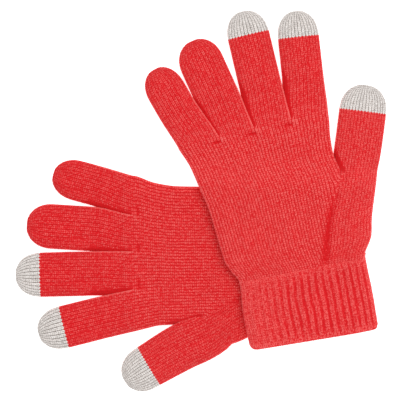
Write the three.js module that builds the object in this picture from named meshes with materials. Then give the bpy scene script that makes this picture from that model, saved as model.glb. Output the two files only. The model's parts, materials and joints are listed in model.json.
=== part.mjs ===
// A pair of one-size knitted touchscreen gloves, lying flat with the upper glove draped over the cuff
// of the lower one. Millimetres, +Z up, resting plane at Z = 0, origin under the middle of the pair.
//
// Both gloves are one design, drawn in a flat glove frame: u runs towards the thumb, v towards the
// fingertips, and 0, 0 is the crotch between ring and middle finger. The lower glove is turned over.
// Each tube of fabric is a loft through "lines" that cross it from its little-finger side to its thumb
// side. A line is a list of [u, v] points, and the tube's section is a flattened superellipse on it.

import * as THREE from 'three';

// Driving dimensions
const WALL = 1.6; // thickness of one layer of knitted fabric
const HAND_THICK = 7.6; // both layers and the air between them, at the hand and cuff
const FINGER_THICK = 6.4; // the same at the fingers and the thumb
const SPLIT = 0.35; // clearance between two pieces that meet
const TIP_HEIGHT = 16.5; // length over which a fingertip rounds off
const SIDE_FULLNESS = 5; // superellipse exponent of a tube's section: 2 is an ellipse
const FLATTENED = 1.05; // the section is raised by this and cut level, so the fabric lies flat
const ROUND_SIDES = 16; // facets around a full tube
const FACE_SIDES = 10; // facets across half a tube
const HEM_WIDTH = 2.6; // overlocked edge of the cuff
const ELASTIC = 1.0; // rubber thread laid in beside the hem
const CUFF_LIFT = 8.0; // how high the upper glove lies on the lower one
const RAMP = [28.0, 5.5]; // Y at which the upper glove starts to rise, and at which it is up
const OVERHANG = [93.0, 110.0, 3.0]; // X from and to which its free edge droops, and by how much

const RED = new THREE.Color('#e23a3a');
const GREY = new THREE.Color('#cfc6c3');
const RUBBER = new THREE.Color('#f1e9dc');

// Where each glove lies: the glove frame's origin, its turn in degrees, and the side that is up
const GLOVES = {
  upper: {
    at: [33.24, 44.29],
    turn: 13.59,
    face: 1,
    fingerRoots: [[-55.2, 17.6], [-32.0, 23.9], [-4.4, 28.3], [23.6, 27.6], [49.6, 23.8]],
    fingers: {
      little: { tip: [-51.9, 50.1], lean: -16.4, half: 12.1 },
      ring: { tip: [-24.9, 61.8], lean: -10.7, half: 13.5 },
      middle: { tip: [10.2, 73.0], lean: 0.0, half: 13.05, touch: 15.8 },
      index: { tip: [42.0, 65.2], lean: 7.1, half: 12.6, touch: 16.7 },
    },
    thumb: { tip: [74.2, 10.2], lean: 21.1, half: 14.4, touch: 17.0 },
    thumbRoot: [[45.2, -25.4], [71.8, -35.9]],
    thumbJoin: [[45.1, -39.6], [58.3, -70.2]],
  },
  lower: {
    at: [-41.28, -31.85],
    turn: 91.0,
    face: -1,
    fingerRoots: [[-52.6, 15.6], [-27.0, 20.4], [0.9, 21.8], [27.9, 21.2], [53.6, 15.2]],
    fingers: {
      little: { tip: [-47.1, 50.2], lean: -14.0, half: 12.6 },
      ring: { tip: [-16.0, 66.6], lean: -4.0, half: 13.9 },
      middle: { tip: [15.9, 74.1], lean: 1.8, half: 13.4, touch: 16.1 },
      index: { tip: [51.1, 60.7], lean: 13.5, half: 12.9, touch: 17.4 },
    },
    thumb: { tip: [80.8, 7.2], lean: 31.0, half: 13.0, touch: 17.8 },
    thumbRoot: [[46.3, -24.0], [68.9, -37.8]],
    thumbJoin: [[45.1, -39.6], [58.5, -66.6]],
  },
};

// The hand, from the wrist to the finger crotches
const HAND_LINES = [
  [[-30.9, -90.2], [47.4, -93.6]],
  [[-34.4, -82.9], [54.2, -82.4]],
  [[-37.2, -72.0], [57.4, -71.0]],
  [[-37.8, -59.5], [52.6, -59.5]],
  [[-38.4, -43.4], [45.2, -42.0]],
  [[-41.5, -26.7], [44.5, -26.0]],
  [[-43.8, -13.6], [44.5, -13.6]],
  [[-48.6, -2.6], [44.5, -2.6]],
];
const KNUCKLE_LINE = [[-49.6, -2.2], [44.7, -2.2]];

// The cuff, from the hem to the wrist
const HEM_LINE = [[-33.9, -130.4], [44.9, -135.8]];
const WRIST_LINE = [[-30.9, -90.6], [47.4, -94.0]];
const CUFF_MIDDLE = [[-33.6, -111.5], [46.6, -115.2]];

const mixNumber = THREE.MathUtils.lerp;
const smooth = (value, from, to) => {
  const way = THREE.MathUtils.clamp((value - from) / (to - from), 0, 1);
  return way * way * (3 - 2 * way);
};
const mixPoint = (a, b, way) => [mixNumber(a[0], b[0], way), mixNumber(a[1], b[1], way)];
const mixLine = (a, b, way) => a.map((point, place) => mixPoint(point, b[place], way));
const moveLine = (line, du, dv) => line.map(([u, v]) => [u + du, v + dv]);
const distance = (a, b) => Math.hypot(b[0] - a[0], b[1] - a[1]);
const softPower = (value) => Math.sign(value) * Math.abs(value) ** (2 / SIDE_FULLNESS);
const levelPower = (value) => THREE.MathUtils.clamp(FLATTENED * softPower(value), -1, 1);

// The point at a fraction of a line, whose points count as evenly spaced
function pointOn(line, fraction) {
  const place = THREE.MathUtils.clamp(fraction, 0, 1) * (line.length - 1);
  const before = Math.min(Math.floor(place), line.length - 2);
  return mixPoint(line[before], line[before + 1], place - before);
}

// A line at right angles to a finger that leans by an angle, centred on a point
function crossLine(centre, leanDegrees, half) {
  const lean = THREE.MathUtils.degToRad(leanDegrees);
  const across = [Math.cos(lean) * half, -Math.sin(lean) * half];
  return [[centre[0] - across[0], centre[1] - across[1]], [centre[0] + across[0], centre[1] + across[1]]];
}

// A point on a finger's own axis, a length back from its tip
function behindTip(finger, back) {
  const lean = THREE.MathUtils.degToRad(finger.lean);
  return [finger.tip[0] - Math.sin(lean) * back, finger.tip[1] - Math.cos(lean) * back];
}

// How high the fabric of a glove is lifted at a place on the table
function drape(glove, x, y) {
  if (glove.face < 0) return 0;
  const onLower = CUFF_LIFT * (1 - smooth(y, RAMP[1], RAMP[0]));
  const [from, to, droop] = OVERHANG;
  return onLower - Math.min(onLower, droop) * smooth(x, from, to);
}

// Glove frame to the frame of the pair. w counts from the middle of the tube, towards its upper side.
function place(glove, [u, v], w, thick) {
  const turn = THREE.MathUtils.degToRad(glove.turn);
  const acrossFace = glove.face * u;
  const x = glove.at[0] + acrossFace * Math.cos(turn) - v * Math.sin(turn);
  const y = glove.at[1] + acrossFace * Math.sin(turn) + v * Math.cos(turn);
  return [x, y, thick / 2 + w + drape(glove, x, y)];
}

// A point of a tube's wall: side and rise are the section's two coordinates, -1 to 1
function wallPoint(glove, row, side, rise, lift = 0) {
  const width = distance(row.line[0], row.line[row.line.length - 1]);
  const inset = width > 0 ? 1 - (2 * row.inset) / width : 0;
  const onLine = pointOn(row.line, 0.5 + 0.5 * side * inset);
  return place(glove, onLine, rise * (row.half - row.inset - lift) + Math.sign(rise) * lift, row.thick);
}

// Faces of a closed geometry turned outwards, after its corners were moved
function facingOut(geometry) {
  const corner = geometry.attributes.position;
  const index = geometry.index.array;
  const [a, b, c] = [new THREE.Vector3(), new THREE.Vector3(), new THREE.Vector3()];
  let volume = 0;
  for (let i = 0; i < index.length; i += 3) {
    a.fromBufferAttribute(corner, index[i]);
    b.fromBufferAttribute(corner, index[i + 1]);
    c.fromBufferAttribute(corner, index[i + 2]);
    volume += a.dot(b.cross(c));
  }
  if (volume < 0) {
    for (let i = 0; i < index.length; i += 3) [index[i], index[i + 1]] = [index[i + 1], index[i]];
  }
  geometry.computeVertexNormals();
  return geometry;
}

// A whole tube. Its rows run along the outside and back along the inside, as a turned profile does,
// and every ring of the turning is then flattened onto its row's line.
function roundTube(glove, rows) {
  const profile = rows.map((row, place) => new THREE.Vector2(row.pole ? 0 : 1, place));
  const geometry = new THREE.LatheGeometry(profile, ROUND_SIDES);
  const corner = geometry.attributes.position;
  for (let i = 0; i < corner.count; i++) {
    const row = rows[i % rows.length];
    const angle = ((Math.floor(i / rows.length) % ROUND_SIDES) / ROUND_SIDES) * 2 * Math.PI;
    const side = row.pole ? 0 : softPower(Math.cos(angle));
    const rise = row.pole ? 0 : levelPower(Math.sin(angle));
    corner.setXYZ(i, ...wallPoint(glove, row, side, rise));
  }
  return facingOut(geometry);
}

// Rows of an open tube through a list of lines: out along the outside, back along the inside
function openRows(lines, thick, wall = WALL, setback = 0) {
  const row = (line, inset) => ({ line, inset, thick, half: thick / 2 - setback });
  const outer = lines.map((line) => row(line, 0));
  const inner = lines.map((line) => row(line, wall)).reverse();
  return [...outer, ...inner, outer[0]];
}

// Rows of a fingertip, closed at its end, from the outside of the tip to the inside
function cappedRows(finger, lines, thick) {
  const bands = [0.05, 0.22, 0.55, 1.0];
  const shape = (share, inset) => {
    const height = TIP_HEIGHT - inset;
    const full = Math.sqrt(1 - (1 - share) ** 2);
    const centre = behindTip(finger, inset + share * height);
    const half = (finger.half - inset) * full + inset;
    return { line: crossLine(centre, finger.lean, half), inset, thick, half: (thick / 2 - inset) * full ** 0.7 + inset };
  };
  const pole = (inset) => {
    const end = behindTip(finger, inset);
    return { line: [end, end], inset: 0, thick, half: 0, pole: true };
  };
  const straight = (inset) => lines.map((line) => ({ line, inset, thick, half: thick / 2 }));
  const outside = [pole(0), ...bands.map((share) => shape(share, 0)), ...straight(0).reverse()];
  const inside = [...straight(WALL), ...bands.map((share) => shape(share, WALL)).reverse(), pole(WALL)];
  return [...outside, ...inside];
}

// One face of a flattened tube: a sheet bent down at both sides to the tube's mid height
function faceSheet(glove, lines, upward) {
  const along = lines.length - 1;
  const geometry = new THREE.BoxGeometry(1, 1, 1, FACE_SIDES, along, 1);
  const corner = geometry.attributes.position;
  for (let i = 0; i < corner.count; i++) {
    const angle = (0.5 - corner.getX(i)) * Math.PI;
    const line = lines[Math.round((corner.getY(i) + 0.5) * along)];
    const inset = corner.getZ(i) > 0 ? 0 : WALL;
    const row = { line, inset, thick: HAND_THICK, half: HAND_THICK / 2 };
    const rise = levelPower(Math.max(Math.sin(angle), 1e-9));
    const point = wallPoint(glove, row, softPower(Math.cos(angle)), upward * rise, SPLIT / 2);
    corner.setXYZ(i, ...point);
  }
  return facingOut(geometry);
}

function yarn(color) {
  return new THREE.MeshStandardMaterial({ color, roughness: 0.85, metalness: 0 });
}

const pair = new THREE.Group();
pair.name = 'touchscreen_gloves';

function add(name, geometry, color) {
  const mesh = new THREE.Mesh(geometry, yarn(color));
  mesh.name = name;
  pair.add(mesh);
}

// A finger's root line, shortened by the clearance to its neighbours and set off from the knuckles
function rootLine(roots, place, finger) {
  const [left, right] = [roots[place], roots[place + 1]];
  const share = SPLIT / 2 / distance(left, right);
  const lean = THREE.MathUtils.degToRad(finger.lean);
  const line = [mixPoint(left, right, share), mixPoint(left, right, 1 - share)];
  return moveLine(line, Math.sin(lean) * SPLIT, Math.cos(lean) * SPLIT);
}

// The lines of a finger between its root and a length behind its tip
function fingerLines(finger, root, back) {
  const end = crossLine(behindTip(finger, back), finger.lean, finger.half);
  return [0, 0.5, 1].map((way) => mixLine(root, end, way));
}

// A plain finger is one capped tube. A touch finger is an open tube with a tip of conductive yarn.
function addFinger(glove, prefix, name, finger, root) {
  if (!finger.touch) {
    const rows = cappedRows(finger, fingerLines(finger, root, TIP_HEIGHT + 1), FINGER_THICK);
    add(`${prefix}_${name}_finger`, roundTube(glove, rows), RED);
    return;
  }
  const back = Math.max(finger.touch, TIP_HEIGHT + 0.4);
  const tubeName = name === 'thumb' ? `${prefix}_thumb` : `${prefix}_${name}_finger`;
  const tube = openRows(fingerLines(finger, root, back + SPLIT), FINGER_THICK);
  add(tubeName, roundTube(glove, tube), RED);
  const mouth = crossLine(behindTip(finger, back), finger.lean, finger.half);
  add(`${prefix}_${name}_touch_tip`, roundTube(glove, cappedRows(finger, [mouth], FINGER_THICK)), GREY);
}

function addGlove(prefix, glove) {
  const top = glove.face > 0 ? 'back' : 'palm';
  const under = glove.face > 0 ? 'palm' : 'back';

  const wrist = WRIST_LINE;
  const hemTop = mixLine(HEM_LINE, wrist, (HEM_WIDTH + ELASTIC + 2 * SPLIT) / distance(HEM_LINE[0], wrist[0]));
  const cuffLines = [hemTop, mixLine(hemTop, CUFF_MIDDLE, 0.5), CUFF_MIDDLE, mixLine(CUFF_MIDDLE, wrist, 0.5), wrist];
  add(`${prefix}_cuff_${top}`, faceSheet(glove, cuffLines, 1), RED);
  add(`${prefix}_cuff_${under}`, faceSheet(glove, cuffLines, -1), RED);

  const elasticFoot = moveLine(hemTop, 0, -SPLIT);
  const elasticLines = [moveLine(elasticFoot, 0, -ELASTIC), elasticFoot];
  const sunk = (WALL - ELASTIC) / 2;
  const narrow = elasticLines.map(([left, right]) => [[left[0] + sunk, left[1]], [right[0] - sunk, right[1]]]);
  add(`${prefix}_cuff_elastic`, roundTube(glove, openRows(narrow, HAND_THICK, ELASTIC, sunk)), RUBBER);
  const hemLines = [HEM_LINE, moveLine(elasticLines[0], 0, -SPLIT)];
  add(`${prefix}_cuff_hem`, roundTube(glove, openRows(hemLines, HAND_THICK)), RED);

  const draped = HAND_LINES.flatMap((line, i) => (i ? [mixLine(HAND_LINES[i - 1], line, 0.5), line] : [line]));
  const handLines = glove.face > 0 ? draped : HAND_LINES;
  add(`${prefix}_hand_${top}`, faceSheet(glove, handLines, 1), RED);
  add(`${prefix}_hand_${under}`, faceSheet(glove, handLines, -1), RED);

  const roots = glove.fingerRoots;
  const knuckleFoot = roots.map((point, i) => pointOn(KNUCKLE_LINE, i / (roots.length - 1)));
  const knuckles = [knuckleFoot, mixLine(knuckleFoot, roots, 0.5), roots];
  add(`${prefix}_finger_roots`, roundTube(glove, openRows(knuckles, FINGER_THICK)), RED);
  Object.entries(glove.fingers).forEach(([name, finger], i) => {
    addFinger(glove, prefix, name, finger, rootLine(roots, i, finger));
  });

  const join = moveLine(glove.thumbJoin, SPLIT, 0);
  const thumbFoot = [join, mixLine(join, glove.thumbRoot, 0.5), glove.thumbRoot];
  add(`${prefix}_thumb_root`, roundTube(glove, openRows(thumbFoot, FINGER_THICK)), RED);
  addFinger(glove, prefix, 'thumb', glove.thumb, rootLine(glove.thumbRoot, 0, glove.thumb));
}

addGlove('lower', GLOVES.lower);
addGlove('upper', GLOVES.upper);

export default pair;
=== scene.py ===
"""A pair of red stretch-knit touchscreen gloves, lying flat, one across the other.

Each glove is one knitted tube for the hand, a ribbed cuff, four finger tubes that lie over each other at
their roots like shingles, and a thumb that grows out of the side of the palm. The tips of the thumb,
index and middle finger are knitted in pale conductive yarn.

Every knitted surface is a grid over two numbers: the wale, which counts the columns of stitches round
the tube, and the course, which counts the rows from the cuff towards the fingertips. Lengths in the
tables are millimetres in a glove's own plane: u runs towards the thumb, v towards the fingertips, from
the crotch of the ring and middle fingers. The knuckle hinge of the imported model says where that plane
lies.
"""

import json
import math

import bpy
import numpy as np
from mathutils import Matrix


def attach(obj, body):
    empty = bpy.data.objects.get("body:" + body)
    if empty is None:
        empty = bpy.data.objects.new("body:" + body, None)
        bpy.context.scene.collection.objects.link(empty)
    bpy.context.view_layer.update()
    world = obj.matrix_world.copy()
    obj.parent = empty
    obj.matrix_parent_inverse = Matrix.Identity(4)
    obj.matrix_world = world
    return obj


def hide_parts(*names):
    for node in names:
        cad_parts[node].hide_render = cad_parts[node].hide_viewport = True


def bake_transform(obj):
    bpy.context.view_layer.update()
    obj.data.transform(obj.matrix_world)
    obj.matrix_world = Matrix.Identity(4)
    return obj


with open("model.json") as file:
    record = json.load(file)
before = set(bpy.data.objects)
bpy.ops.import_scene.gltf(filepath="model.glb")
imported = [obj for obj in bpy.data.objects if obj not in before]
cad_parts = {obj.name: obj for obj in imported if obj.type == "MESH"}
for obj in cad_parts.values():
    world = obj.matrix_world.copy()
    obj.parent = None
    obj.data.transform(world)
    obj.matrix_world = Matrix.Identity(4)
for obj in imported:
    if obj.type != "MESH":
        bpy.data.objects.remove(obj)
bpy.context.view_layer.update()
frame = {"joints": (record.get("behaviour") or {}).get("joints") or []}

MM = 0.001
COURSE = 1.3  # height of one row of stitches
LEG_RISE = 0.6  # how far the legs of a V rise from its foot, in rows
STITCH_RELIEF = 0.45  # height of a leg over the groove between two columns
HAND_MID, HAND_HALF = 3.8, 3.4  # middle height and half thickness of the empty hand tube
FINGER_MID, FINGER_HALF = 3.2, 2.8
TIP_LENGTH = 16.5  # the rounded end of a finger
SHINGLE = 1.25  # how far an overlapping edge rises over its neighbour at a finger root
WALES = 46  # columns of stitches on one face of the hand
HAND_COURSES = 72  # rows from the wrist to the knuckles
HAND_LENGTH = 94.0
THUMB_WALES = 17
RIBS = 19  # ribs on one face of the cuff
THINNEST = 0.9  # share of its thickness that a tube may lose where it slides under another
KNUCKLE_HINGE = (-2.45, -2.4)  # u and v of the knuckle hinge's middle

GLOVES = {
    "upper": {
        "face": 1,
        "cuff_body": "upper_cuff",
        # columns on the hand where the crotches fall, and where they lie
        "columns": ([0, 13, 24, 35, 46], [-48.7, -22.2, 0.2, 23.7, 47.6]),
        # the hand's edge on the little finger's side: v, then u
        "little_side": ([-96, -89.1, -82.8, -75, -59.5, -43.4, -26.7, -13.6, -2.9, 0],
                        [-30.9, -31.2, -34.3, -37.0, -37.9, -38.8, -41.6, -44.0, -47.7, -48.7]),
        # wales: the hand's columns that a finger takes up. crotch: the column where it comes out from
        # under the next one. tip: its end. lean: its turn towards the thumb, in degrees. half: half its
        # width. touch: the length of its conductive cap
        "fingers": {
            "little": {"wales": (0, 13), "crotch": None, "tip": (-51.8, 50.6), "lean": -16.4, "half": 12.2},
            "ring": {"wales": (10, 24), "crotch": 13, "tip": (-24.7, 62.4), "lean": -10.7, "half": 13.8},
            "middle": {"wales": (21, 35), "crotch": 24, "tip": (10.5, 73.0), "lean": 0.2, "half": 13.1,
                       "touch": 15.8},
            "index": {"wales": (32, 46), "crotch": 35, "tip": (42.6, 65.4), "lean": 7.4, "half": 12.8,
                      "touch": 16.7},
        },
        # along: distances up the thumb. inner and outer: where its edges are there, on the palm's side
        # and outside
        "thumb": {
            "along": [0.0, 4.0, 16.7, 28.3, 42.2, 59.0, 71.3, 98.5],
            "inner": [(16.4, -95.4), (17.5, -91.5), (20.7, -80.5), (24.5, -70.0),
                      (30.5, -56.0), (39.0, -38.5), (45.2, -25.4), (54.9, 0.0)],
            "outer": [(47.0, -97.6), (47.4, -93.6), (55.0, -81.2), (57.8, -71.0),
                      (62.8, -57.5), (68.4, -44.0), (72.1, -35.9), (82.3, -10.4)],
            "tip": (74.8, 10.2), "lean": 21.1, "half": 14.4, "touch": 17.0,
        },
        # the line where palm and thumb meet: v, then u
        "gore": ([-96, -86.5, -71.7, -57.8, -46, -38.8, -25, -18],
                 [21.4, 24.3, 29.2, 35.1, 41.8, 46.1, 44.5, 44.5]),
        # below this v palm and thumb are one fabric, and above it one lies over the other
        "thumb_crotch": -38.8,
        # how much paler or deeper the whole glove is than the yarn's middle tone
        "tone": 0.0,
        # how plain the groove between palm and thumb is, in its depth and in its painted shade
        "groove": 0.85,
        # how plain the creases at the fingers' crotches are, in their depth, their painted shade and the
        # painted highlight on the stitches beside them
        "crease": 0.85,
        # the palm slides under the thumb up to the first v, and no longer from the second on
        "palm_dips_below": (-42.0, -39.0),
        # the palm's edge on the thumb's side: v, then u
        "palm_side": ([-96, -60, -42, -38.8, -25, -14, -6, 0],
                      [43.0, 44.6, 45.9, 46.1, 44.5, 45.4, 46.9, 47.6]),
        # and the thumb under the palm in the same way
        "thumb_dips_below": (-27.0, -19.0),
    },
    "lower": {
        "face": -1,
        "cuff_body": "lower_glove",
        "columns": ([0, 11, 22, 33, 46], [-47.1, -22.6, 0.0, 23.4, 49.9]),
        "little_side": ([-96, -89.1, -82.8, -75, -59.5, -43.4, -26.7, -13.6, -2.9, 0],
                        [-30.9, -31.2, -34.3, -37.0, -37.9, -39.1, -39.9, -42.2, -46.3, -47.1]),
        "fingers": {
            "little": {"wales": (0, 13), "crotch": 11, "tip": (-48.9, 49.7), "lean": -16.2, "half": 12.5},
            "ring": {"wales": (11, 24), "crotch": 22, "tip": (-17.6, 66.7), "lean": -4.7, "half": 13.9},
            "middle": {"wales": (22, 36), "crotch": 33, "tip": (13.8, 74.2), "lean": 0.4, "half": 13.8,
                       "touch": 16.1},
            "index": {"wales": (33, 46), "crotch": None, "tip": (50.2, 60.7), "lean": 13.0, "half": 13.2,
                      "touch": 17.4},
        },
        "thumb": {
            "along": [0.0, 4.0, 16.7, 28.3, 35.5, 40.0, 44.5, 59.0, 71.3, 100.5],
            "inner": [(16.9, -95.0), (18.0, -91.0), (20.5, -80.0), (24.0, -70.0), (26.8, -63.2),
                      (28.6, -59.0), (30.8, -54.8), (39.0, -41.0), (46.0, -24.0), (60.6, 0.1)],
            "outer": [(47.0, -97.6), (47.4, -93.6), (50.0, -81.5), (54.6, -70.5), (57.6, -63.9),
                      (58.9, -60.0), (62.4, -56.2), (67.8, -47.3), (72.8, -36.5), (84.3, -13.6)],
            "tip": (80.8, 7.2), "lean": 31.0, "half": 13.6, "touch": 17.8,
        },
        "gore": ([-96, -86.5, -71.7, -57.8, -40.5, -24.0, -18], [21.4, 24.3, 29.2, 34.0, 42.0, 46.0, 47.0]),
        "thumb_crotch": -40.5,
        "tone": -0.05,
        "groove": 0.3,
        "crease": 0.55,
        "palm_dips_below": (-24.0, -16.0),
        "palm_side": ([-96, -60, -25, -14.5, -7, 0], [43.0, 45.0, 46.2, 46.6, 48.2, 49.9]),
        "thumb_dips_below": (-43.0, -40.0),
    },
}
WRIST = ((-30.9, -90.6), (47.4, -94.0))
CUFF_ALONG = [0.0, 3.2, 24.0, 43.0]
CUFF_LITTLE_SIDE = [(-31.2, -87.4), (-31.2, -90.6), (-33.6, -111.5), (-34.2, -132.4)]
CUFF_THUMB_SIDE = [(48.9, -90.8), (47.9, -94.0), (47.3, -115.2), (45.9, -138.2)]
CUFF_CORNER = 3.6  # radius of the corners of the flat cuff
CUFF_WALL = 1.2
CUFF_TURN_IN = 14  # rows of the cuff's inside that can be seen from its mouth
RIB_RISE = 0.6  # height of a rib over the groove beside it
HEM_RISE = 0.22  # height of a loop of the overlocked edge
ELASTIC_RADIUS = 0.42
ELASTIC_PLACE = 5.0  # distance of the thread from the edge
JOINTS = {j["name"]: j for j in frame["joints"]}


def smooth(x, start, end):
    """0 up to start, 1 from end on, and an S-shaped rise between."""
    t = np.clip((np.asarray(x, float) - start) / (end - start), 0.0, 1.0)
    return t * t * (3.0 - 2.0 * t)


def curve(t, knots, values):
    """A smooth line through the values that never overshoots them: a cubic between each two.

    The slope at a knot is the harmonic mean of the slopes on its two sides, or level at a turning point.
    """
    k, y = np.asarray(knots, float), np.asarray(values, float)
    steps = np.diff(y) / np.diff(k)
    before, after = steps[:-1], steps[1:]
    same = before * after > 0
    mean = np.where(same, 2 * before * after / np.where(same, before + after, 1.0), 0.0)
    slope = np.concatenate([steps[:1], mean, steps[-1:]])
    t = np.clip(t, k[0], k[-1])
    i = np.clip(np.searchsorted(k, t, side="right") - 1, 0, len(k) - 2)
    h = k[i + 1] - k[i]
    f = (t - k[i]) / h
    start = (1 + 2 * f) * (1 - f) ** 2 * y[i] + f * (1 - f) ** 2 * h * slope[i]
    end = f * f * (3 - 2 * f) * y[i + 1] + f * f * (f - 1) * h * slope[i + 1]
    return start + end


def plane_curve(t, knots, points):
    """The same through points in the plane."""
    points = np.asarray(points, float)
    return np.stack([curve(t, knots, points[:, 0]), curve(t, knots, points[:, 1])], -1)


# ---------------------------------------------------------------- the glove's own plane

def glove_plane(side):
    """Origin, u direction and v direction of a glove, from its knuckle hinge.

    The hinge runs across the knuckles. It points towards the thumb on the upper glove and away from it
    on the lower one, so that both gloves fold upwards.
    """
    hinge = JOINTS[side + "_knuckle_fold"]
    axis = np.array(hinge["axis"], float)
    u = GLOVES[side]["face"] * axis
    v = np.cross([0.0, 0.0, 1.0], axis)
    origin = np.array(hinge["pos_m"], float) - MM * (KNUCKLE_HINGE[0] * u + KNUCKLE_HINGE[1] * v)
    return origin[:2], u[:2], v[:2]


def drape(side, xy):
    """How far the upper glove is lifted where it lies over the lower one, in metres, by the place."""
    if side == "lower":
        return np.zeros(xy.shape[:-1])
    x, y = xy[..., 0] / MM, xy[..., 1] / MM
    on = 8.0 * (1.0 - smooth(y, 5.5, 28.0))
    return MM * (on - np.minimum(on, 3.0) * smooth(x, 93.0, 110.0))


def place(side, u, v, z):
    """Points of a glove, from its plane and the height over it in millimetres, to the frame of the part.

    The fabric never lies quite flat: a few long, low waves lift and lower it by up to 0.3 mm.
    """
    origin, along_u, along_v = glove_plane(side)
    xy = origin + MM * (u[..., None] * along_u + v[..., None] * along_v)
    x, y = xy[..., 0] / MM, xy[..., 1] / MM
    waves = np.sin(0.17 * x + 0.06 * y + 1.0) + np.sin(0.07 * x - 0.21 * y)
    waves = waves + np.sin(0.11 * x + 0.13 * y + 2.0)
    z = z + 0.1 * waves * np.clip(z / 7.0, 0.0, 1.0)
    return np.concatenate([xy, (MM * z + drape(side, xy))[..., None]], -1)


# ---------------------------------------------------------------- knitted surfaces

def stitches(wale, course):
    """Height of plain knitting, 0 to 1: each column is a chain of Vs whose two legs are rolls of yarn.

    Across a column the legs crest a quarter in from each side, with a shallow crease between them and a
    deep groove to the next column. Along a column each leg bulges between the rows. No two legs are
    alike: yarn is thick and thin, so each stands between two thirds and all of the full height.
    """
    a = np.abs(wale % 1.0 - 0.5)
    across = np.where(a < 0.25, 1.0 - 0.4 * ((0.25 - a) / 0.25) ** 2,
                      1.0 - (np.maximum(a - 0.25, 0.0) / 0.25) ** 1.8)
    along = 1.0 - (2.0 * (course % 1.0) - 1.0) ** 4
    leg = np.floor(2.0 * wale) * 12.9898 + np.floor(course + 1e-6) * 78.233
    uneven = 1.0 - 0.35 * ((np.sin(leg) * 43758.5453) % 1.0)
    return across * (0.6 + 0.4 * along) * uneven


def leg_shear(wale):
    """How far a point of a V lies beyond its foot, in rows: 0 in mid column, LEG_RISE at its sides."""
    return LEG_RISE * 2.0 * np.abs(wale % 1.0 - 0.5)


def surface_normals(points):
    """Unit normals of a grid of points, from its differences along both ways."""
    rows, columns = np.gradient(points, axis=0), np.gradient(points, axis=1)
    normal = np.cross(columns, rows)
    return normal / np.maximum(np.linalg.norm(normal, axis=-1, keepdims=True), 1e-12)


def knit_mesh(name, points, relief, wale, course, material, flip, around=False, pole=False):
    """A piece made of a grid of points, whose last row may draw together into one point at a fingertip.

    The grid's columns run round the tube and meet when around is set. relief, 0 to 1, is kept at each
    vertex for the colour: the stitches' height, with painted shade and painted highlight added to it in
    places. wale and course are the piece's UV map.
    """
    rows, columns = relief.shape
    index = np.arange(rows * columns).reshape(rows, columns)
    if around:
        index[:, -1] = index[:, 0]
    a, b, c, d = index[:-1, :-1], index[:-1, 1:], index[1:, 1:], index[1:, :-1]
    quads = np.stack([a, b, c, d], -1)
    uv = np.stack([wale, course], -1)
    quad_uv = np.stack([uv[:-1, :-1], uv[:-1, 1:], uv[1:, 1:], uv[1:, :-1]], 2)
    tris = np.zeros((0, 3), int)
    tri_uv = np.zeros((0, 3, 2))
    if pole:
        last = np.full(columns - 1, index[-1, 0])
        tris = np.stack([quads[-1, :, 0], quads[-1, :, 1], last], -1)
        tri_uv = quad_uv[-1][:, :3]
        quads, quad_uv = quads[:-1], quad_uv[:-1]
    quads, quad_uv = quads.reshape(-1, 4), quad_uv.reshape(-1, 4, 2)
    if flip:
        quads, quad_uv = quads[:, ::-1], quad_uv[:, ::-1]
        tris, tri_uv = tris[:, ::-1], tri_uv[:, ::-1]
    corners = np.concatenate([quads.ravel(), tris.ravel()])
    used, corners = np.unique(corners, return_inverse=True)
    starts = np.concatenate([np.arange(len(quads)) * 4, len(quads) * 4 + np.arange(len(tris)) * 3])
    mesh = bpy.data.meshes.new(name)
    mesh.vertices.add(len(used))
    mesh.vertices.foreach_set("co", points.reshape(-1, 3)[used].astype(np.float32).ravel())
    mesh.loops.add(len(corners))
    mesh.loops.foreach_set("vertex_index", corners.astype(np.int32))
    mesh.polygons.add(len(starts))
    mesh.polygons.foreach_set("loop_start", starts.astype(np.int32))
    mesh.polygons.foreach_set("use_smooth", np.ones(len(starts), bool))
    mesh.update(calc_edges=True)
    layer = mesh.uv_layers.new(name="stitch")
    layer.data.foreach_set("uv", np.concatenate([quad_uv.ravel(), tri_uv.ravel()]).astype(np.float32))
    attribute = mesh.attributes.new("relief", "FLOAT", "POINT")
    attribute.data.foreach_set("value", relief.ravel()[used].astype(np.float32))
    mesh.materials.append(material)
    piece = bpy.data.objects.new(name, mesh)
    bpy.context.scene.collection.objects.link(piece)
    return piece


# ---------------------------------------------------------------- colours and yarn

def from_srgb(code):
    """A colour written as sRGB hex, as the linear values that the shader takes."""
    channels = [int(code[i:i + 2], 16) / 255.0 for i in (0, 2, 4)]
    return [c / 12.92 if c <= 0.04045 else ((c + 0.055) / 1.055) ** 2.4 for c in channels] + [1.0]


def add(material, kind, settings=None, links=None):
    """One shader node, with its settings by property or socket, and the sockets that feed it."""
    node = material.node_tree.nodes.new("ShaderNode" + kind)
    for key, value in (settings or {}).items():
        if hasattr(node, str(key)):
            setattr(node, key, value)
        else:
            node.inputs[key].default_value = value
    for key, socket in (links or {}).items():
        material.node_tree.links.new(socket, node.inputs[key])
    return node


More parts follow.
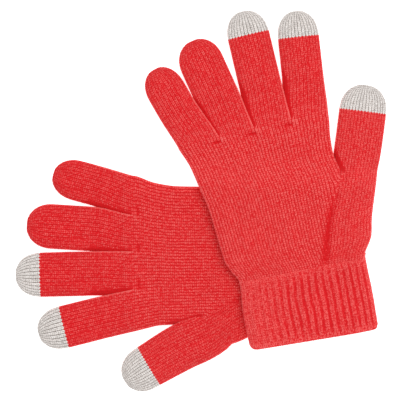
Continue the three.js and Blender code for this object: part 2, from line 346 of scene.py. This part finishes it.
def yarn(name, groove, flank, crest, roughness, sheen, heather, speckle):
    """Knitted yarn, coloured by how high a point stands: the light is lost between the legs of the stitches.

    groove, flank and crest are the colours in the grooves, on the sides and on top of the legs: the groove's
    is painted shade and the crest's painted highlight. heather is how much the tone changes from patch to
    patch of fibres and from column to column, and speckle how much stray fibres lighten or deepen a spot.
    A fine twist of the plies runs across each leg, and loose fibres roughen it.
    """
    material = bpy.data.materials.new(name)
    material.use_nodes = True
    material.node_tree.nodes.clear()
    relief = add(material, "Attribute", {"attribute_name": "relief"})
    places = add(material, "TexCoord")
    chart = add(material, "UVMap", {"uv_map": "stitch"})
    strokes = add(material, "Mapping", {"Scale": (3.4, 1.7, 1.0)}, {"Vector": chart.outputs["UV"]})
    spots = add(material, "TexNoise", {"Scale": 1.0, "Detail": 2.0, "Roughness": 0.65},
                {"Vector": strokes.outputs["Vector"]})
    stray = add(material, "Math", {"operation": "MULTIPLY_ADD", 1: speckle, 2: -0.5 * speckle},
                {0: spots.outputs["Fac"]})
    height = add(material, "Math", {"operation": "ADD"},
                 {0: relief.outputs["Fac"], 1: stray.outputs["Value"]})
    tone = add(material, "ValToRGB", None, {"Fac": height.outputs["Value"]})
    ramp = tone.color_ramp
    ramp.elements[0].position, ramp.elements[0].color = 0.12, from_srgb(groove)
    ramp.elements[1].position, ramp.elements[1].color = 0.88, from_srgb(crest)
    ramp.elements.new(0.5).color = from_srgb(flank)
    fibres = add(material, "TexNoise", {"Scale": 700.0, "Detail": 3.0, "Roughness": 0.6},
                 {"Vector": places.outputs["Object"]})
    stretch = add(material, "Mapping", {"Scale": (0.9, 0.07, 1.0)}, {"Vector": chart.outputs["UV"]})
    columns = add(material, "TexNoise", {"Scale": 1.0, "Detail": 1.0}, {"Vector": stretch.outputs["Vector"]})
    both = add(material, "Math", {"operation": "ADD"},
               {0: fibres.outputs["Fac"], 1: columns.outputs["Fac"]})
    value = add(material, "MapRange", {"From Min": 0.6, "From Max": 1.4, "To Min": 1.0 - heather,
                                       "To Max": 1.0 + heather}, {"Value": both.outputs["Value"]})
    colour = add(material, "HueSaturation", {"Hue": 0.5, "Saturation": 1.0, "Fac": 1.0},
                 {"Value": value.outputs["Result"], "Color": tone.outputs["Color"]})
    twist = add(material, "TexWave", {"wave_type": "BANDS", "bands_direction": "DIAGONAL", "Scale": 1.6,
                                      "Distortion": 1.5, "Detail": 1.0}, {"Vector": chart.outputs["UV"]})
    plies = add(material, "Bump", {"Strength": 0.35, "Distance": 0.00012},
                {"Height": twist.outputs["Fac"]})
    fuzz = add(material, "Bump", {"Strength": 0.5, "Distance": 0.00015},
               {"Height": fibres.outputs["Fac"], "Normal": plies.outputs["Normal"]})
    cloth = add(material, "BsdfPrincipled", {"Roughness": roughness, "Sheen Weight": sheen,
                                             "Sheen Roughness": 0.5, "Specular IOR Level": 0.25},
                {"Base Color": colour.outputs["Color"], "Normal": fuzz.outputs["Normal"]})
    add(material, "OutputMaterial", None, {"Surface": cloth.outputs["BSDF"]})
    return material


# Acrylic and elastane yarn, dyed before it was knitted: matte, with a painted highlight on the legs and
# painted shade, a deep red, between them.
RED_YARN = yarn("red acrylic yarn, plain-knitted", "DC000A", "EA141E", "FE6C68", 0.88, 0.25, 0.06, 1.6)
# The same knitting in a conductive blend of steel and white polyester fibres, spun together: pale warm grey.
GREY_YARN = yarn("pale conductive yarn, plain-knitted", "7C7068", "E2D9D4", "FFFAF6", 0.7, 0.1, 0.10, 1.5)
# The hem's overlocking: the same red yarn, looped tightly round the edge; its colours are a little paler, a
# painted highlight for the light that the tight loops catch.
HEM_YARN = yarn("red yarn, overlocked edge", "E0000C", "EE2228", "FE7270", 0.88, 0.25, 0.08, 1.3)
# Natural rubber thread, covered with cotton.
ELASTIC = yarn("covered rubber thread", "A89878", "D8CBB0", "EFE6D4", 0.7, 0.1, 0.06, 0.6)


# ---------------------------------------------------------------- the hand

def hand_columns(side, wale):
    """u of the hand's columns of stitches at the knuckles, counted from the little finger's side."""
    knots, places = GLOVES[side]["columns"]
    return np.interp(wale, knots, places)


def hand_bulge(side, wale, thumb_power=8.0):
    """Thickness of the hand tube across the knuckles, 0 at the folds on both sides and 1 between.

    The greater the power, the sharper the fold on the thumb's side.
    """
    low, high = GLOVES[side]["columns"][1][0], GLOVES[side]["columns"][1][-1]
    x = 2.0 * (hand_columns(side, wale) - low) / (high - low) - 1.0
    return np.sqrt(np.clip(1.0 - np.abs(x) ** np.where(x > 0, thumb_power, 8.0), 0.0, 1.0))


def wrist_v(u):
    """v of the line where the ribs start."""
    (u0, v0), (u1, v1) = WRIST
    return v0 + (v1 - v0) * (u - u0) / (u1 - u0)


def gore_u(side, v):
    """u of the line where palm and thumb meet."""
    return curve(v, *GLOVES[side]["gore"])


def gore_groove(side, beyond, v):
    """The soft groove along the gore line, 0 to 1: none at the thumb's crotch, plainest near the wrist."""
    # the groove both sinks the fabric and darkens it with painted shade
    return GLOVES[side]["groove"] * smooth(-v, 44, 66) * smooth(v, -95, -86) * np.exp(-(beyond / 2.2) ** 2)


def gore_sink(side, beyond, v, dips_below):
    """How far one of palm and thumb sinks at the gore line, in millimetres, and how dark it is there.

    beyond counts millimetres past the gore line, towards the other one. Below the thumb's crotch both
    meet level, but for the soft groove. Above it the one that dips slides under the other's edge. The
    second value is painted shade: a painted shadow under the other's edge and a darker band in the groove.
    """
    crotch = GLOVES[side]["thumb_crotch"]
    apart = smooth(v, crotch - 1.5, crotch + 1.5)
    dips = 1 - smooth(v, *dips_below)
    groove = gore_groove(side, beyond, v)
    level = 1.6 * smooth(beyond, -0.6, 4.0)
    under = 2.6 * smooth(beyond, -3.6, 4.2)
    sink = dips * ((1 - apart) * level + apart * under) + 0.9 * groove
    # painted shade: a painted shadow under the other's edge, and a darker band along the groove
    gore_painted_shade = np.maximum(0.8 * apart * dips * smooth(beyond, -3.4, -1.2), 0.45 * groove)
    return sink, gore_painted_shade


def crotches(side):
    """u of the three crotches between the fingers."""
    return GLOVES[side]["columns"][1][1:-1]


def crotch_star(side, u, v):
    """Where the knitting is drawn together at a crotch: how much it sinks and bunches up, 0 to 1.

    A short crease runs from the crotch towards the little finger, a little below it, and the stitches on
    its other side stand up. Both also colour the knitting: painted shade in the crease and a painted
    highlight on the raised stitches.
    """
    dip_and_painted_shade, raised_and_painted_highlight = np.zeros(u.shape), np.zeros(u.shape)
    for crotch in crotches(side):
        across, up = u - crotch, v + 2.7
        window = smooth(across, -7.5, -1.5) * (1 - smooth(across, -0.4, 1.4))
        dip_and_painted_shade = np.maximum(dip_and_painted_shade, window * np.exp(-(up / 0.8) ** 2))
        raised_and_painted_highlight = np.maximum(raised_and_painted_highlight, np.exp(-((across - 1.8) / 1.6) ** 2 - ((up - 1.3) / 1.6) ** 2))
    return GLOVES[side]["crease"] * dip_and_painted_shade, GLOVES[side]["crease"] * raised_and_painted_highlight


def hand_face(side, face, across, along):
    """One face of the hand tube, from inside the cuff to the knuckles.

    Rows lie parallel to the wrist at one end and to the knuckles at the other. The columns spread out
    towards the knuckles. Beyond the gore line the fabric sinks away under the thumb's, and at the wrist
    under the ribs. It also gives the painted shade in the crotch creases and along the gore line, and
    the raised stitches that carry a painted highlight.
    """
    glove = GLOVES[side]
    wale, course = np.meshgrid(np.arange(0, WALES + 1e-6, 1.0 / across),
                               np.arange(0, HAND_COURSES + 1e-6, 1.0 / along))
    fade = 1.0 - smooth(course, HAND_COURSES - 2, HAND_COURSES)
    t = np.clip((course + leg_shear(wale) * fade) / HAND_COURSES, 0.0, 1.0)
    v = -HAND_LENGTH * (1.0 - t)
    low = curve(v, *glove["little_side"]) - 0.25 * smooth(-v, 0.0, 1.5)
    high = curve(v, *glove["palm_side"])
    first, last = glove["columns"][1][0], glove["columns"][1][-1]
    u = low + (high - low) * (hand_columns(side, wale) - first) / (last - first)
    # below the thumb's crotch the fabric runs on under the thumb's
    crotch = glove["thumb_crotch"]
    under_thumb = smooth(v, -94, -84) * (1 - smooth(v, crotch - 5, crotch - 1))
    u = u + 4.0 * smooth(wale, WALES - 6, WALES) * under_thumb
    # the wrist slopes, so the rows near it do too
    (wrist_u, wrist_top), (wrist_end, wrist_low) = WRIST
    v = v - (wrist_top - wrist_low) * (1.0 - t) * (u - wrist_u) / (wrist_end - wrist_u)
    crease, raised_and_painted_highlight = crotch_star(side, u, v)
    edge = hand_bulge(side, wale, 30.0 - 22.0 * smooth(v, crotch - 4, crotch))
    bulge = HAND_HALF * edge + (0.3 * raised_and_painted_highlight - 0.7 * crease) * smooth(-v, 0.0, 0.8)
    sink, gore_painted_shade = gore_sink(side, u - gore_u(side, v), v, glove["palm_dips_below"])
    sink = sink + 0.7 * smooth(wrist_v(u) - v, -2.5, 2.5)
    # painted shade in the crotch creases and along the gore line
    dip_and_painted_shade = np.maximum(0.75 * crease, gore_painted_shade)
    up = np.maximum(bulge - np.minimum(sink, bulge * THINNEST), 0.0)
    z = HAND_MID + face * up
    return wale, course, u, v, z, dip_and_painted_shade, raised_and_painted_highlight


def make_hand(side, back, palm):
    """The two faces of the hand tube, which meet along the folds at both sides."""
    glove = GLOVES[side]
    for name, face, across, along, nodes in (
        (side + "_hand_upper_face", 1, 5, 4, (palm if side == "lower" else back,)),
        (side + "_hand_under_face", -1, 4, 3, (back if side == "lower" else palm,)),
    ):
        wale, course, u, v, z, dip_and_painted_shade, raised_and_painted_highlight = hand_face(side, face, across, along)
        relief = stitches(wale, course)
        points = place(side, u, v, z)
        normals = surface_normals(points) * (1 if face * glove["face"] > 0 else -1)
        points = points + MM * STITCH_RELIEF * relief[..., None] * normals * (1 if face > 0 else 0.7)
        # the colour: stitch relief, painted shade in the creases and at the gore, a painted highlight on the
        # raised stitches by the crotches, and the glove's tone
        shade = relief - dip_and_painted_shade + 0.35 * raised_and_painted_highlight + glove["tone"]
        piece = knit_mesh(name, points, shade, wale, course, RED_YARN, flip=face * glove["face"] < 0)
        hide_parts(*nodes)
        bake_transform(piece)


# ---------------------------------------------------------------- fingers and thumb

def tube_grid(wales, across_top, across_under, courses, along, tip):
    """Wale and course numbers over a tube: round its upper face, then back under it, from root to tip.

    Courses are evenly spaced, with a few more near the tip, where the tube closes.
    """
    top = np.arange(0, wales, 1.0 / across_top)
    under = np.arange(wales, 2 * wales + 1e-6, 1.0 / across_under)
    rows = np.arange(0, courses - 1e-6, 1.0 / along)
    if tip:
        rows = np.concatenate([rows, courses - np.array([0.12, 0.05, 0.0])])
    wale, course = np.meshgrid(np.concatenate([top, under]), rows)
    across = np.where(wale <= wales, 2 * wale / wales - 1, 3 - 2 * wale / wales)
    return wale, course, across, np.where(wale < wales, 1.0, -1.0)


def finger_end(along, length):
    """Share of its full width that a finger has at a place along it: 1, then half an ellipse at the end."""
    t = np.clip((along - (length - TIP_LENGTH)) / TIP_LENGTH, 0.0, 1.0)
    return np.sqrt(np.clip(1.0 - t ** 2.35, 0.0, 1.0))


def finger_grid(side, finger):
    """Centre surface of a finger tube, in the glove's plane, and its stitches.

    The root's columns are the hand's own, so that the knitting runs on. Over the first centimetre the
    section turns from the hand's flat shape into the finger's rounded one, and one edge rises over the
    next finger.
    """
    glove, spec = GLOVES[side], GLOVES[side]["fingers"][finger]
    first, last = spec["wales"]
    wales = last - first
    lean = math.radians(spec["lean"])
    length = spec["tip"][1] / math.cos(lean)
    courses = int(round(length / COURSE))
    wale, course, across, face = tube_grid(wales, 6, 4, courses, 4, True)
    fade = smooth(course, 0, 1) * (1 - smooth(course, courses - 3, courses - 0.5))
    along = np.minimum(course + leg_shear(wale) * fade, courses) * length / courses
    turned = smooth(along, 0, 10)
    x = across + 0.35 * turned * (np.sin(0.5 * math.pi * across) - across)
    end = finger_end(along, length)
    foot = np.array([spec["tip"][0] - length * math.sin(lean), 0.0])
    half = spec["half"]
    u = foot[0] + along * math.sin(lean) + x * half * end * math.cos(lean)
    v = foot[1] + along * math.cos(lean) - x * half * end * math.sin(lean)
    hand_wale = first + wales * (across + 1) / 2
    root_u = hand_columns(side, hand_wale)
    near_root = 1 - smooth(along, 0, 26)
    u = u + near_root * (root_u - (foot[0] + across * half * math.cos(lean)))
    v = v + near_root * (across * half * math.sin(lean))
    # heights
    flat = HAND_HALF * hand_bulge(side, hand_wale) * (np.abs(across) < 0.999)
    if spec["crotch"] is not None:
        hidden = (spec["crotch"] - hand_wale) * glove["face"]
        flat = flat - np.minimum(1.8 * smooth(hidden, 0, 1.5), THINNEST * flat)
    own = FINGER_HALF * np.sqrt(np.clip(1 - np.abs(x) ** 3, 0, 1)) * end ** 0.6
    up = (1 - turned) * flat + turned * own
    tilt = SHINGLE * smooth(along, 0, 7) * (1 - smooth(along, 20, 40)) * x * glove["face"]
    mid = HAND_MID + (FINGER_MID - HAND_MID) * smooth(along, 0, 14)
    z = np.maximum(mid + face * up + tilt, 0.35)
    # painted highlight on the edge that lies on top, and painted shade beside the next finger's edge
    edge = x * glove["face"]
    overlap = smooth(along, 0, 3) * (1 - smooth(along, 24, 34))
    lit = 0.3 * smooth(edge, 0.9, 0.97) * overlap
    if spec["crotch"] is not None:
        covered = spec["crotch"] - first if glove["face"] > 0 else last - spec["crotch"]
        border = 2.0 * covered / wales * np.clip(1.0 - along / 32.0, 0.0, 1.0) - 1.0
        lit = lit - 0.9 * overlap * (1 - smooth(edge, border, border + 0.16))
    return wale, course, u, v, z, end, courses, length, lit


def thumb_grid(side):
    """The thumb's tube, from inside the cuff up the side of the palm to its tip, in the same way.

    Its inner and outer edges are smooth lines up to where the rounded end starts. On the palm's side of
    the gore line it sinks away under the palm, with painted shade there, which it returns as its light.
    """
    glove, spec = GLOVES[side], GLOVES[side]["thumb"]
    lean = math.radians(spec["lean"])
    straight = spec["along"][-1]
    length = straight + TIP_LENGTH
    courses = int(round(length / COURSE))
    wale, course, across, face = tube_grid(THUMB_WALES, 6, 4, courses, 4, True)
    fade = smooth(course, 0, 1) * (1 - smooth(course, courses - 3, courses - 0.5))
    along = np.minimum(course + leg_shear(wale) * fade, courses) * length / courses
    x = across + 0.3 * smooth(along, 44, 74) * (np.sin(0.5 * math.pi * across) - across)
    end = finger_end(along, length)
    inner = plane_curve(along, spec["along"], spec["inner"])
    outer = plane_curve(along, spec["along"], spec["outer"])
    beyond = np.maximum(along - straight, 0.0)
    centre = (inner + outer) / 2 + beyond[..., None] * np.array([math.sin(lean), math.cos(lean)])
    reach = (outer - inner) / 2 * end[..., None] * x[..., None]
    u, v = (centre + reach)[..., 0], (centre + reach)[..., 1]
    power = 7.0 - 4.0 * smooth(along, 24, 79)
    own = (HAND_HALF + (FINGER_HALF - HAND_HALF) * smooth(along, 49, 79))
    own = own * np.sqrt(np.clip(1 - np.abs(x) ** power, 0, 1)) * end ** 0.6
    sink, gore_painted_shade = gore_sink(side, gore_u(side, v) - u, v, glove["thumb_dips_below"])
    sink = sink + 0.7 * smooth(wrist_v(u) - v, -2.5, 2.5)
    up = np.maximum(own - np.minimum(sink, own * THINNEST), 0.0)
    tilt = SHINGLE * smooth(v, -42, -35) * (1 - smooth(v, -22, -6)) * x * glove["face"]
    mid = HAND_MID + (FINGER_MID - HAND_MID) * smooth(along, 49, 79)
    z = np.maximum(mid + face * up + tilt, 0.35)
    return wale, course, u, v, z, end, courses, length, -gore_painted_shade


def make_tube(side, finger, name, grid, touch, nodes, tip_nodes, bodies):
    """A finger or thumb: the red tube, and a conductive cap from a whole row on."""
    glove = GLOVES[side]
    wale, course, u, v, z, end, courses, length, lit = grid
    relief = stitches(wale, course) * smooth(end, 0.05, 0.35)
    # lit adds the painted highlight and painted shade at the finger roots, or the thumb's painted shade at
    # the gore
    shade = relief + lit
    # the fingers are knitted more tightly than the hand and the thumb, so less light comes off them
    tight = 0.0 if finger == "thumb" else 0.05 * smooth(course, 0, 14)
    red_shade = shade + glove["tone"] - tight
    points = place(side, u, v, z)
    normals = surface_normals(points) * glove["face"]
    points = points + MM * STITCH_RELIEF * relief[..., None] * normals
    split = len(course) - 1
    if touch:
        border = courses - int(round(touch * courses / length))
        split = int(np.argmin(np.abs(course[:, 0] - border)))
        piece = knit_mesh(name + "_touch_tip", points[split:], shade[split:], wale[split:], course[split:],
                          GREY_YARN, flip=glove["face"] < 0, around=True, pole=True)
        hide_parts(*tip_nodes)
        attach(piece, bodies[1])
    top = split + 1
    piece = knit_mesh(name, points[:top], red_shade[:top], wale[:top], course[:top], RED_YARN,
                      flip=glove["face"] < 0, around=True, pole=not touch)
    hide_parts(*nodes)
    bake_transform(piece)


# ---------------------------------------------------------------- the cuff

def cuff_edges(along):
    """Both side edges of the cuff at a distance from its upper end."""
    return (plane_curve(along, CUFF_ALONG, CUFF_LITTLE_SIDE),
            plane_curve(along, CUFF_ALONG, CUFF_THUMB_SIDE))


def cuff_section(side, rib, along, inset):
    """Points of the cuff tube by rib number and distance along it, inset by part of the wall's thickness.

    The tube lies flat, with rounded folds, and its lower corners are round.
    """
    across = np.where(rib <= RIBS, 2 * rib / RIBS - 1, 3 - 2 * rib / RIBS)
    face = np.where(rib < RIBS, 1.0, -1.0)
    x = across + 0.15 * (np.sin(0.5 * math.pi * across) - across)
    little, thumb = cuff_edges(along)
    half = np.linalg.norm(thumb - little, axis=-1) / 2
    from_corner = np.clip((np.abs(x) * half - (half - CUFF_CORNER)) / CUFF_CORNER, 0, 1)
    rounding = 1 - np.sqrt(np.clip(1 - from_corner ** 2, 0, 1))
    lift = CUFF_CORNER * rounding * smooth(along, 20, CUFF_ALONG[-1])
    share = x * (1 - inset / half)
    centre = (little + thumb) / 2 + share[..., None] * (thumb - little) / 2
    height = HAND_HALF - 0.4 * smooth(along, 3, 11) - 0.7 * (1 - smooth(along, 0.7, 5.7)) * (inset < 0.1)
    up = (height - inset) * np.sqrt(np.clip(1 - np.abs(x) ** 8, 0, 1))
    return centre[..., 0], centre[..., 1] + lift, HAND_MID + face * up


def make_cuff(side, back, palm, elastic, hem):
    """The ribbed cuff with its inside, the overlocked hem and the elastic thread laid in between the two."""
    glove, body = GLOVES[side], GLOVES[side]["cuff_body"]
    flip = glove["face"] < 0
    length = CUFF_ALONG[-1]
    courses = int(round(length / COURSE))
    # the wall: down the outside, round the edge and some way up the inside
    outside = np.arange(0, courses + 1e-6, 0.25)
    inside = np.arange(courses, courses - CUFF_TURN_IN, -0.5)
    row = np.concatenate([outside, inside])
    inset = np.concatenate([np.zeros(len(outside)), np.full(len(inside), CUFF_WALL)])
    rib, course = np.meshgrid(np.arange(0, 2 * RIBS + 1e-6, 1 / 15), row)
    inset = np.repeat(inset[:, None], rib.shape[1], 1)
    # 2x1 ribbing: two columns of Vs on top of each rib, and one that lies back in the groove between two ribs
    column = 3 * rib + 0.5
    valley = 1 - smooth(np.abs((rib + 0.5) % 1.0 - 0.5), 0.06, 0.3)
    fade = smooth(course, 0, 1) * (1 - smooth(course, courses - 1.5, courses - 0.5))
    along = (course - leg_shear(column) * fade) * length / courses
    sway = 0.06 * np.sin(0.33 * course + 4 * math.pi * rib / RIBS) * np.sin(math.pi * rib / RIBS) ** 2
    u, v, z = cuff_section(side, rib + sway, np.clip(along, 0, length), inset)
    points = place(side, u, v, z)
    normals = surface_normals(points) * (-glove["face"])
    uneven = 0.85 + 0.15 * np.sin(1.9 * rib + 0.35 * course) * np.sin(0.7 * rib - 0.5 * course)
    strength = smooth(along, 0.0, 12.0) * (0.25 + 0.6 * smooth(rib % RIBS, 2.0, 9.0)) * uneven
    strength = strength * (1 - 0.4 * smooth(along, length - 5.0, length - 1.5))
    relief = stitches(column, course)
    rise = STITCH_RELIEF * relief + RIB_RISE * strength * (1 - valley)
    points = points + MM * np.where(inset > 0, 0.25 * relief, rise)[..., None] * normals
    # painted shade in the grooves between the ribs, deepest where the ribs stand out most
    shade = 0.09 + relief * (1 - 0.75 * strength * valley)
    cuff = knit_mesh(side + "_ribbed_cuff", points, shade, rib, course, RED_YARN, flip=not flip, around=True)
    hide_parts(back, palm)
    # the hem: a rolled band of close loops over the edge
    roll = np.array([(0.95, 2.7), (1.15, 2.2), (1.2, 1.2), (1.05, 0.3), (0.6, -0.25), (0.0, -0.4),
                     (-0.6, -0.25), (-1.05, 0.3), (-1.2, 1.2), (-1.15, 2.2), (-0.9, 2.7)])
    steps = np.linspace(0, len(roll) - 1, 25)
    offset = plane_curve(steps, np.arange(len(roll)), roll)
    loop, step = np.meshgrid(np.arange(0, 2 * RIBS + 1e-6, 0.1), np.arange(len(steps)))
    out, back_up = offset[step.astype(int), 0], offset[step.astype(int), 1]
    u, v, z = cuff_section(side, loop, np.clip(length - back_up, 0, length), CUFF_WALL / 2 - out * 0.62)
    v = v - np.maximum(-back_up, 0) * 0.8
    points = place(side, u, v, z)
    normals = surface_normals(points) * (-glove["face"])
    slant = loop * 3.0 + step / 9.0
    relief = (0.5 + 0.5 * np.cos(2 * math.pi * slant)) * smooth(step, 0, 3) * (1 - smooth(step, 21, 24))
    points = points + MM * HEM_RISE * relief[..., None] * normals
    band = knit_mesh(side + "_overlocked_hem", points, relief, loop * 3, step / 4.0, HEM_YARN, flip=not flip,
                     around=True)
    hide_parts(hem)
    # the elastic: a thin round thread inside the wall, all the way round
    turn, ring = np.meshgrid(np.linspace(0, 2 * math.pi, 9), np.arange(0, 2 * RIBS + 1e-6, 0.25))
    u, v, z = cuff_section(side, ring, length - ELASTIC_PLACE + ELASTIC_RADIUS * np.sin(turn),
                           CUFF_WALL / 2 - ELASTIC_RADIUS * np.cos(turn))
    thread = knit_mesh(side + "_cuff_elastic_thread", place(side, u, v, z), np.full(ring.shape, 0.7), turn,
                       ring, ELASTIC, flip=flip, around=True)
    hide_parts(elastic)
    if body == "upper_cuff":
        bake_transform(cuff)
    else:
        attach(cuff, body)
    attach(band, body)
    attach(thread, body)


# ---------------------------------------------------------------- the pair

for side in GLOVES:
    hand = side + "_glove"
    make_hand(side, side + "_hand_back", side + "_hand_palm")
    for finger, spec in GLOVES[side]["fingers"].items():
        node = f"{side}_{finger}_finger"
        tip = [f"{side}_{finger}_touch_tip"] if "touch" in spec else []
        nodes = [node] + ([side + "_finger_roots"] if finger == "ring" else [])
        make_tube(side, finger, f"{node}_tube", finger_grid(side, finger), spec.get("touch"), nodes, tip,
                  (side + "_knuckles", f"{side}_{finger}"))
    make_tube(side, "thumb", side + "_thumb_tube", thumb_grid(side), GLOVES[side]["thumb"]["touch"],
              [side + "_thumb", side + "_thumb_root"], [side + "_thumb_touch_tip"],
              (hand, side + "_thumb"))
    make_cuff(side, side + "_cuff_back", side + "_cuff_palm", side + "_cuff_elastic", side + "_cuff_hem")


# ---------------------------------------------------------------- table, light and camera

ROOM_LIGHT = 0.73
SOFT_BOX = {"size": 2.0, "energy": 19.0, "place": (1.0, 0.8, 2.2)}
LENS, SENSOR = 120.0, 36.0
VIEW_WIDTH = 0.248  # metres of table across the picture
VIEW_MIDDLE = (-0.0003, 0.00002, 0.008)


def make_stage():
    """A white light table under the pair, a bright room and one large soft light from the upper right."""
    bpy.ops.mesh.primitive_plane_add(size=6.0, location=(0.0, 0.0, -0.0002))
    table = bpy.context.object
    table.name = "table"
    white = bpy.data.materials.new("opal glass of a light table, matte")
    white.use_nodes = True
    shader = white.node_tree.nodes["Principled BSDF"]
    shader.inputs["Base Color"].default_value = from_srgb("FBFBFB")
    shader.inputs["Roughness"].default_value = 0.9
    shader.inputs["Specular IOR Level"].default_value = 0.1
    shader.inputs["Emission Color"].default_value = (1.0, 1.0, 1.0, 1.0)
    shader.inputs["Emission Strength"].default_value = 0.8
    table.data.materials.append(white)
    world = bpy.data.worlds.new("bright room")
    bpy.context.scene.world = world
    world.use_nodes = True
    world.node_tree.nodes["Background"].inputs["Color"].default_value = (1.0, 1.0, 1.0, 1.0)
    world.node_tree.nodes["Background"].inputs["Strength"].default_value = ROOM_LIGHT
    data = bpy.data.lights.new("soft box", "AREA")
    data.shape, data.size, data.energy = "DISK", SOFT_BOX["size"], SOFT_BOX["energy"]
    light = bpy.data.objects.new("soft box", data)
    light.location = SOFT_BOX["place"]
    aim = -light.location
    light.rotation_mode = "QUATERNION"
    light.rotation_quaternion = aim.to_track_quat("-Z", "Y")
    bpy.context.scene.collection.objects.link(light)
    data = bpy.data.cameras.new("camera")
    data.lens, data.sensor_width = LENS, SENSOR
    camera = bpy.data.objects.new("camera", data)
    x, y, z = VIEW_MIDDLE
    camera.location = (x, y, z + VIEW_WIDTH * LENS / SENSOR)
    bpy.context.scene.collection.objects.link(camera)
    bpy.context.scene.camera = camera
    bpy.context.scene.view_settings.view_transform = "Standard"


make_stage()
